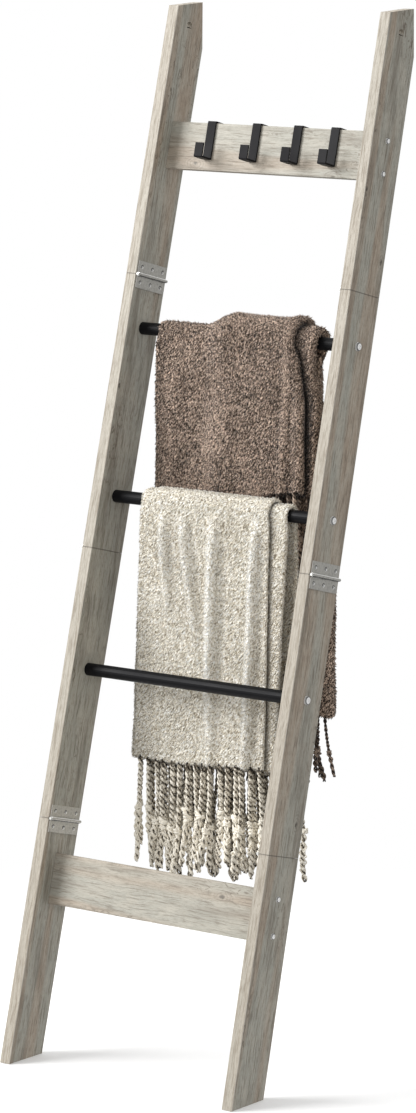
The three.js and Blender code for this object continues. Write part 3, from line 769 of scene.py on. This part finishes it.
BROWN_A_RIGHT = [(-0.28, 0.150), (-0.10, 0.149), (-0.03, 0.142), (0, 0.131), (0.03, 0.134), (0.64, 0.150)]
BROWN_C_RIGHT = [(-0.28, 0.162), (-0.16, 0.172), (-0.10, 0.174), (-0.04, 0.163), (0, 0.167), (0.04, 0.144),
                 (0.10, 0.144), (0.13, 0.176), (0.64, 0.178)]
BROWN = {
    "name": "brown_plush", "rung": "rung_top", "front": 0.271, "back": 0.625, "grid": 0.0055,
    "thickness": 0.0032, "pitch": 0.0043, "pitch_on_rung": 0.0056, "clearance": 0.0006, "tent": 0.042,
    "fold_swell": 0.0085, "fold_width": 0.014, "first_fold": 1, "seen": (0, 2), "seed": 11, "drift": 0.0022,
    # the ridge height that gets the full painted highlight, and the painted shade on inner layers in front
    "inset": 0.0065, "crest": 0.012, "behind": 0.95,
    # left and right edges of each layer, outermost first, as (place along the throw, x)
    "layers": [
        ([(-0.28, -0.182), (-0.02, -0.179), (0.0, -0.173), (0.02, -0.176), (0.64, -0.170)], BROWN_A_RIGHT),
        ([(-0.28, -0.042), (0.64, -0.030)], BROWN_A_RIGHT), ([(-0.28, -0.042), (0.64, -0.030)], BROWN_C_RIGHT),
        ([(-0.28, -0.014), (0.64, -0.010)], BROWN_C_RIGHT),
        ([(-0.28, -0.014), (0.64, -0.010)], [(-0.28, 0.132), (0.64, 0.136)])],
    "ridges": [
        {"path": [(-0.28, 0.104), (-0.02, 0.122)], "height": [(-0.28, 0.0062), (-0.05, 0.0058), (0, 0)],
         "width": 0.009},
        {"path": [(-0.28, -0.060), (-0.02, -0.030)], "height": [(-0.28, 0.0030), (-0.08, 0.0024), (0, 0)],
         "width": 0.034},
        {"path": [(-0.28, -0.150), (-0.02, -0.135)], "height": [(-0.28, 0.0025), (-0.08, 0.0020), (0, 0)],
         "width": 0.018},
        {"path": [(0.02, -0.060), (0.64, -0.095)], "height": [(0, 0), (0.08, 0.004), (0.64, 0.006)],
         "width": 0.016},
        {"path": [(0.02, 0.055), (0.64, 0.070)], "height": [(0, 0), (0.08, 0.004), (0.64, 0.007)],
         "width": 0.018}],
    "front_hem": [(-0.20, 0.004), (0.0, 0.006), (0.06, 0.012), (0.10, 0.023), (0.16, 0.026)],
    "locks": 46500, "lie_turn": -0.6, "lie_swing": 0.6, "lie_rise": 0.38, "stray": 0.20,
}
BROWN_COLOURS = (0.013, 0.008, 0.005), (0.172, 0.118, 0.084), (0.840, 0.655, 0.525)
BROWN_STROKE = (0.0016, 0.0058)
brown_ground = wool("brown_plush_ground", BROWN_COLOURS, BROWN_STROKE, 0.6, 4.0, cloudy=0.55)
brown_fibre = wool("brown_plush_pile", BROWN_COLOURS, BROWN_STROKE, 0.6, 4.6, own=0.3, tip=0.25, cloudy=0.55)
brown_lock = lock_mesh("brown_lock", length=0.0044, root=0.00125, curl=0.0015)
brown_points, brown_spans, brown_painted_light = folded(BROWN)
brown_sheet = with_nook_shade(cloth(BROWN, brown_points, brown_painted_light), reach=0.030)
brown_sheet.data.materials.append(brown_ground)
brown_piles = [pile(BROWN, brown_sheet, side, brown_lock, brown_fibre, "brown_throw") for side in (-1, 1)]
bpy.data.objects.remove(brown_lock)
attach(brown_sheet, "brown_throw")
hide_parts("brown_throw")

# ---- Brown fringe ------------------------------------------------------------------------
# Tassels of two-ply rope that hang from the hem of every folded layer. Each has a knot just past its middle, a
# thicker and looser rope below the knot, and a few loops of loose yarn.


def tube(path, radius, sides=6):
    """Points and faces of a closed tube round a path, with a radius for each of its points."""
    path = np.asarray(path, float)
    ahead = np.gradient(path, axis=0)
    ahead /= np.linalg.norm(ahead, axis=1)[:, None]
    aside = np.cross(ahead[0], (0.3, 1.0, 0.2))
    rings = []
    turns = 2 * math.pi * np.arange(sides) / sides
    for point, forward, girth in zip(path, ahead, np.broadcast_to(radius, len(path))):
        aside = aside - forward * (aside @ forward)
        aside /= np.linalg.norm(aside)
        other = np.cross(forward, aside)
        rings.append(point + girth * (np.cos(turns)[:, None] * aside + np.sin(turns)[:, None] * other))
    faces = [tuple(range(sides))[::-1]]
    for ring in range(len(path) - 1):
        start = ring * sides
        faces += [(start + i, start + (i + 1) % sides, start + sides + (i + 1) % sides, start + sides + i)
                  for i in range(sides)]
    faces.append(tuple((len(path) - 1) * sides + i for i in range(sides)))
    return np.concatenate(rings), faces


def joined(tubes):
    """The points and faces of several tubes as one."""
    points, faces = [], []
    for some_points, some_faces in tubes:
        faces += [tuple(i + len(points) for i in face) for face in some_faces]
        points += list(some_points)
    return points, faces


HEM_SHADE, HEM_SHADE_REACH = 0.75, 0.016  # yarn close under the hem is in its shadow


def tassel(name, make, draw):
    """One tassel that hangs from its origin: a two-ply rope, a lumpy knot, and a looser rope with yarn
    standing out. What it stores as tip is how far off the middle a point is, less the shade of the hem."""
    knot, end = make["knot"] * draw.uniform(0.86, 1.16), make["length"] * draw.uniform(0.84, 1.0)
    sway, bow = draw.uniform(-1, 1, 2) * make["sway"], draw.uniform(-1, 1, 2) * make["sway"] * 0.7
    phase = draw.uniform(0, 2 * math.pi, 4)

    def middle(down):
        """The middle of the tassel so far below the hem."""
        low = np.clip(down / end, 0, 1)[:, None]
        wave = 0.0011 * np.sin(low * 15 + phase[0]) * low
        return np.concatenate([low**2 * sway[:1] + np.sin(low * 5) * low * bow[:1] + wave,
                               0.4 * (low**2 * sway[1:] + np.sin(low * 4) * low * bow[1:]), -down[:, None]], 1)

    tubes, thread = [], make["thread"]
    for begin, stop, turn, loose in ((0, knot, make["turn"], 1.0), (knot, end, make["turn"] * 1.35, 1.22)):
        count = max(6, round((stop - begin) / make["turn"] * 8))
        down = np.linspace(begin, stop, count)
        near_end = np.clip((stop - down) / 0.007, 0, 1) if stop == end else 1.0
        for ply in (0, math.pi):
            twist = phase[1] + ply + 2 * math.pi * (down - begin) / turn + 0.55 * np.sin(down * 75 + phase[2])
            apart = thread * 0.95 * loose * (1 + 0.22 * np.sin(down * 310 + ply + phase[3]))
            if begin == 0:  # the plies come together at the hem
                apart = apart * (0.45 + 0.55 * np.clip(down / 0.010, 0, 1))
            path = middle(down) + np.stack([np.cos(twist) * apart, np.sin(twist) * apart * 0.8, 0 * down], 1)
            width = thread * loose * (1 + 0.24 * np.sin(down * 430 + 2 * ply + phase[0]))
            tubes.append(tube(path, width * (0.45 + 0.55 * np.sqrt(near_end)), 6))
    centre = middle(np.array([knot]))[0]
    for wrap in range(3):
        turn = np.linspace(0, 2 * math.pi * 1.1, 13) + draw.uniform(0, 6)
        coil = thread * (2.5 + 0.7 * np.sin(turn * 2 + wrap))
        tilt = draw.uniform(-0.8, 0.8)
        path = np.stack([np.cos(turn) * coil, np.sin(turn) * coil * 0.8, np.cos(turn) * coil * tilt], 1)
        tubes.append(tube(centre + path + (0, 0, (wrap - 1) * thread * 1.3), thread * 0.95, 5))
    for loop in range(make["loops"]):
        base = centre if loop < 2 else middle(np.array([draw.uniform(knot + 0.01, end - 0.02)]))[0]
        turn, rise = draw.uniform(0, 2 * math.pi), draw.uniform(-0.5, 0.6)
        out, along = np.array([math.cos(turn), 0.7 * math.sin(turn), 0]), np.linspace(0, 1, 8)[:, None]
        upward = np.array([0, 0, 1]) * ((along - 0.5) * thread * 5 * (1 + rise))
        path = base + out * np.sin(along * math.pi) * thread * 3.3 + upward
        tubes.append(tube(path + out[[1, 0, 2]] * (along - 0.5) * thread * 2, thread * 0.62, 5))
    made = make_object(name, *joined(tubes))
    points = np.array([v.co for v in made.data.vertices])
    off = np.linalg.norm((points - middle(-points[:, 2]))[:, :2], axis=1) / thread
    shaded = np.clip(1 + points[:, 2] / HEM_SHADE_REACH, 0, 1) * HEM_SHADE
    return with_attribute(made, "tip", "FLOAT", np.clip((off - 0.7) / 1.3, 0, 1) - shaded)


FRONT_SHADE, BACK_SHADE, INNER_SHADE = 0.95, 0.25, 0.45  # the back and the inner layers get less light


def fringe(name, make, points, spans, side, finish, body, node):
    """The tassels at the front (-1) or back (1) hem. An inner layer's hang behind every other outer one."""
    draw = np.random.default_rng(make["seed"] + side)
    parts = [tassel(f"{name}_{i}", make, draw) for i in range(make["kinds"])]
    row = points[0 if side < 0 else -1]
    margin = make["thread"] * 1.6
    grid = np.arange(row[:, 0].min() + margin, row[:, 0].max() - margin * 0.5, make["gap"])
    grid = grid + draw.uniform(-0.10, 0.10, len(grid)) * make["gap"]
    places = []
    for k, (first, last) in enumerate(spans):
        hem = row[first:last]
        hem = hem[np.argsort(hem[:, 0])]
        light = (FRONT_SHADE if side < 0 else BACK_SHADE) * (1 if k == 0 else INNER_SHADE)
        for i, x in enumerate(grid):
            if not hem[0, 0] + margin * 0.5 < x < hem[-1, 0] - margin * 0.5 or k > 0 and (i + k) % 2:
                continue
            y, z = np.interp(x, hem[:, 0], hem[:, 1]), np.interp(x, hem[:, 0], hem[:, 2])
            lean = draw.normal(0, 0.025, 2)
            if side > 0 and x > hem[-1, 0] - make["gap"]:
                lean[0] -= make["swing"]
            if side < 0:
                lean[1] -= make["tuck"]  # towards the wall, clear of whatever hangs in front
            size = draw.uniform(0.92, 1.06)
            girth = draw.uniform(0.90, 1.14)
            shade = light * draw.uniform(0.6, 1)
            places.append({"point": (x, y, z + 0.003), "facing": (lean[0], 0.5 * lean[1], 1),
                           "size": (girth, girth, size * make["reach"][k]), "shade": shade,
                           "spin": draw.uniform(0, 6.28), "variant": int(draw.integers(make["kinds"]))})
    made = scattered(name, places, parts, finish)
    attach(made, body)
    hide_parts(node)
    return made


BROWN_TASSEL = {"thread": 0.0018, "turn": 0.0150, "knot": 0.072, "length": 0.132, "sway": 0.010, "loops": 3,
                "gap": 0.0172, "swing": 0.16, "tuck": 0.22, "kinds": 7, "seed": 31,
                "reach": (1, 0.98, 1, 0.97, 0.95)}
brown_strand = wool("brown_rope", ((0.012, 0.008, 0.006), (0.120, 0.086, 0.064), (0.62, 0.49, 0.39)),
                    (0.0016, 0.0050), 0.5, 1.4, own=0.8, tip=0.8)
for side, place in ((-1, "front"), (1, "back")):
    made = fringe(f"brown_tassels_{place}", BROWN_TASSEL, brown_points, brown_spans, side, brown_strand,
                  "brown_throw", f"brown_{place}_fringe")

# ---- Cream throw -------------------------------------------------------------------------
# Soft wool with a short slanting nap, folded lengthwise in four and hung evenly over the middle rung. In front
# it stands out in long rolls, which start at the rung and die out on the way down.

CREAM_A_RIGHT = [(-0.45, 0.115), (-0.02, 0.126), (0.02, 0.122), (0.45, 0.118)]
CREAM_B_LEFT = [(-0.45, -0.171), (-0.21, -0.161), (-0.02, -0.148), (0.02, -0.150), (0.45, -0.154)]
CREAM_C_RIGHT = [(-0.45, 0.133), (-0.30, 0.141), (-0.02, 0.160), (0.02, 0.156), (0.20, 0.158), (0.45, 0.168)]
CREAM = {
    "name": "cream_wool", "rung": "rung_middle", "front": 0.4436, "back": 0.448, "grid": 0.005,
    "thickness": 0.0022, "pitch": 0.0032, "pitch_on_rung": 0.0034, "clearance": 0.0006, "tent": 0.016,
    "fold_swell": 0.0014, "fold_width": 0.006, "first_fold": 1, "seen": (0, 1, 2), "seed": 23, "drift": 0.0016,
    # the ridge height that gets the full painted highlight, and the painted shade on inner layers in front
    "inset": 0.0030, "crest": 0.013, "behind": 0.12,
    "layers": [
        ([(-0.45, -0.166), (-0.21, -0.158), (-0.02, -0.152), (0.0, -0.146), (0.45, -0.150)], CREAM_A_RIGHT),
        (CREAM_B_LEFT, CREAM_A_RIGHT), (CREAM_B_LEFT, CREAM_C_RIGHT),
        ([(-0.45, -0.120), (0.45, -0.115)], CREAM_C_RIGHT)],
    "ridges": [
        {"path": [(-0.20, -0.088), (-0.01, -0.102)],
         "height": [(-0.22, 0), (-0.08, 0.0115), (-0.02, 0.007), (0, 0)], "width": 0.0080},
        {"path": [(-0.26, -0.026), (-0.01, -0.057)],
         "height": [(-0.27, 0), (-0.10, 0.013), (-0.02, 0.008), (0, 0)], "width": 0.0085},
        {"path": [(-0.45, 0.000), (-0.01, 0.010)],
         "height": [(-0.45, 0.005), (-0.25, 0.014), (-0.10, 0.013), (-0.01, 0.006), (0, 0)], "width": 0.011},
        {"path": [(-0.45, 0.078), (-0.01, 0.100)],
         "height": [(-0.45, 0.009), (-0.25, 0.013), (-0.08, 0.012), (-0.01, 0.006), (0, 0)], "width": 0.0090},
        {"path": [(0.01, -0.085), (0.45, -0.070)], "height": [(0, 0), (0.08, 0.003), (0.45, 0.0035)],
         "width": 0.012},
        {"path": [(0.01, 0.030), (0.45, 0.050)], "height": [(0, 0), (0.08, 0.003), (0.45, 0.0035)],
         "width": 0.014}],
    "front_hem": [(-0.17, -0.002), (0.13, 0.006)],
    "locks": 46500, "lie_turn": -0.75, "lie_swing": 0.28, "lie_rise": 0.24, "stray": 0.13,
}
CREAM_COLOURS = (0.310, 0.255, 0.172), (0.990, 0.925, 0.785), (1.000, 1.000, 0.970)
CREAM_STROKE = (0.0015, 0.0072)
cream_ground = wool("cream_wool_ground", CREAM_COLOURS, CREAM_STROKE, 0.75, 3.9, cloudy=0.18)
cream_fibre = wool("cream_wool_nap", CREAM_COLOURS, CREAM_STROKE, 0.75, 3.9, own=0.12, tip=0.2, cloudy=0.18)
cream_lock = lock_mesh("cream_lock", length=0.0052, root=0.00110, curl=0.0010)
cream_points, cream_spans, cream_painted_light = folded(CREAM)
cream_sheet = with_nook_shade(cloth(CREAM, cream_points, cream_painted_light), reach=0.016)
cream_sheet.data.materials.append(cream_ground)
cream_piles = [pile(CREAM, cream_sheet, side, cream_lock, cream_fibre, "cream_throw") for side in (-1, 1)]
bpy.data.objects.remove(cream_lock)
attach(cream_sheet, "cream_throw")
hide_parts("cream_throw")

# ---- Cream fringe ------------------------------------------------------------------------
# Thicker and longer two-ply tassels, each knotted halfway down with yarn standing out of the knot, and looser
# below it. They hang from the hem of every folded layer.

CREAM_TASSEL = {"thread": 0.0022, "turn": 0.0190, "knot": 0.103, "length": 0.205, "sway": 0.014, "loops": 12,
                "gap": 0.0172, "swing": 0.03, "tuck": 0.0, "kinds": 8, "seed": 47,
                "reach": (1, 0.97, 0.98, 0.94)}
cream_strand = wool("cream_rope", ((0.022, 0.016, 0.010), (0.440, 0.378, 0.285), (0.99, 0.94, 0.83)),
                    (0.0015, 0.0042), 0.5, 3.2, own=0.45, tip=1.3)
for side, place in ((-1, "front"), (1, "back")):
    made = fringe(f"cream_tassels_{place}", CREAM_TASSEL, cream_points, cream_spans, side, cream_strand,
                  "cream_throw", f"cream_{place}_fringe")

# ---- Floor and light ---------------------------------------------------------------------
# A plain pale floor that fades into a white surround, with a large soft light at the front left and weak ones
# at the front right and above, so that the faces turned to the right are a little darker.

FLOOR_RADIUS, FLOOR_DROP = 1.5, 0.0008
floor_finish, tree = new_finish("pale_floor")
length = tree.add("ShaderNodeVectorMath", {"operation": "LENGTH"}, {0: tree.place()})
off_centre = Number(tree, length.outputs["Value"])
surface(tree, Base_Color=(0.86, 0.86, 0.86, 1), Roughness=0.95, Specular_IOR_Level=0.1,
        Emission_Color=(1.0, 1.0, 1.0, 1), Emission_Strength=0.12,
        Alpha=tree.step(off_centre, 0.45 * FLOOR_RADIUS, 0.98 * FLOOR_RADIUS, 1.0, 0.0))
floor_points, floor_faces = lathe([(FLOOR_RADIUS, -FLOOR_DROP), (0, -FLOOR_DROP)], 96)
floor = make_object("floor", floor_points, floor_faces, smooth=False)
floor.data.materials.append(floor_finish)
floor.visible_diffuse = False

world = bpy.data.worlds.new("surround")
world.use_nodes = True
world.node_tree.nodes.clear()
tree = Tree(world.node_tree)
seen = Number(tree, tree.add("ShaderNodeLightPath").outputs["Is Camera Ray"])
strength = tree.step(seen, 0, 1, 0.54, 1.0)  # white to look at, and weaker as a light
surround = tree.add("ShaderNodeBackground", {}, {"Color": (1.0, 1.0, 1.0, 1), "Strength": strength})
tree.add("ShaderNodeOutputWorld", {}, {"Surface": surround.outputs[0]})
bpy.context.scene.world = world
bpy.context.scene.view_settings.view_transform = "Standard"

LIT = Vector((0, 0, 0.9))  # the point that the lights are turned to
LIGHTS = {"key_light": ((-4.6, -3.9, 4.1), 4.4, 620), "fill_light": ((4.2, -3.4, 2.4), 2.2, 51),
          "top_light": ((-0.4, 1.6, 4.6), 2.4, 70)}  # where it is, how wide and how strong
for name, (place, size, power) in LIGHTS.items():
    light = bpy.data.objects.new(name, bpy.data.lights.new(name, "AREA"))
    light.data.shape, light.data.size, light.data.energy = "DISK", size, power
    light.location = place
    light.rotation_euler = (LIT - Vector(place)).to_track_quat("-Z", "Y").to_euler()
    bpy.context.scene.collection.objects.link(light)
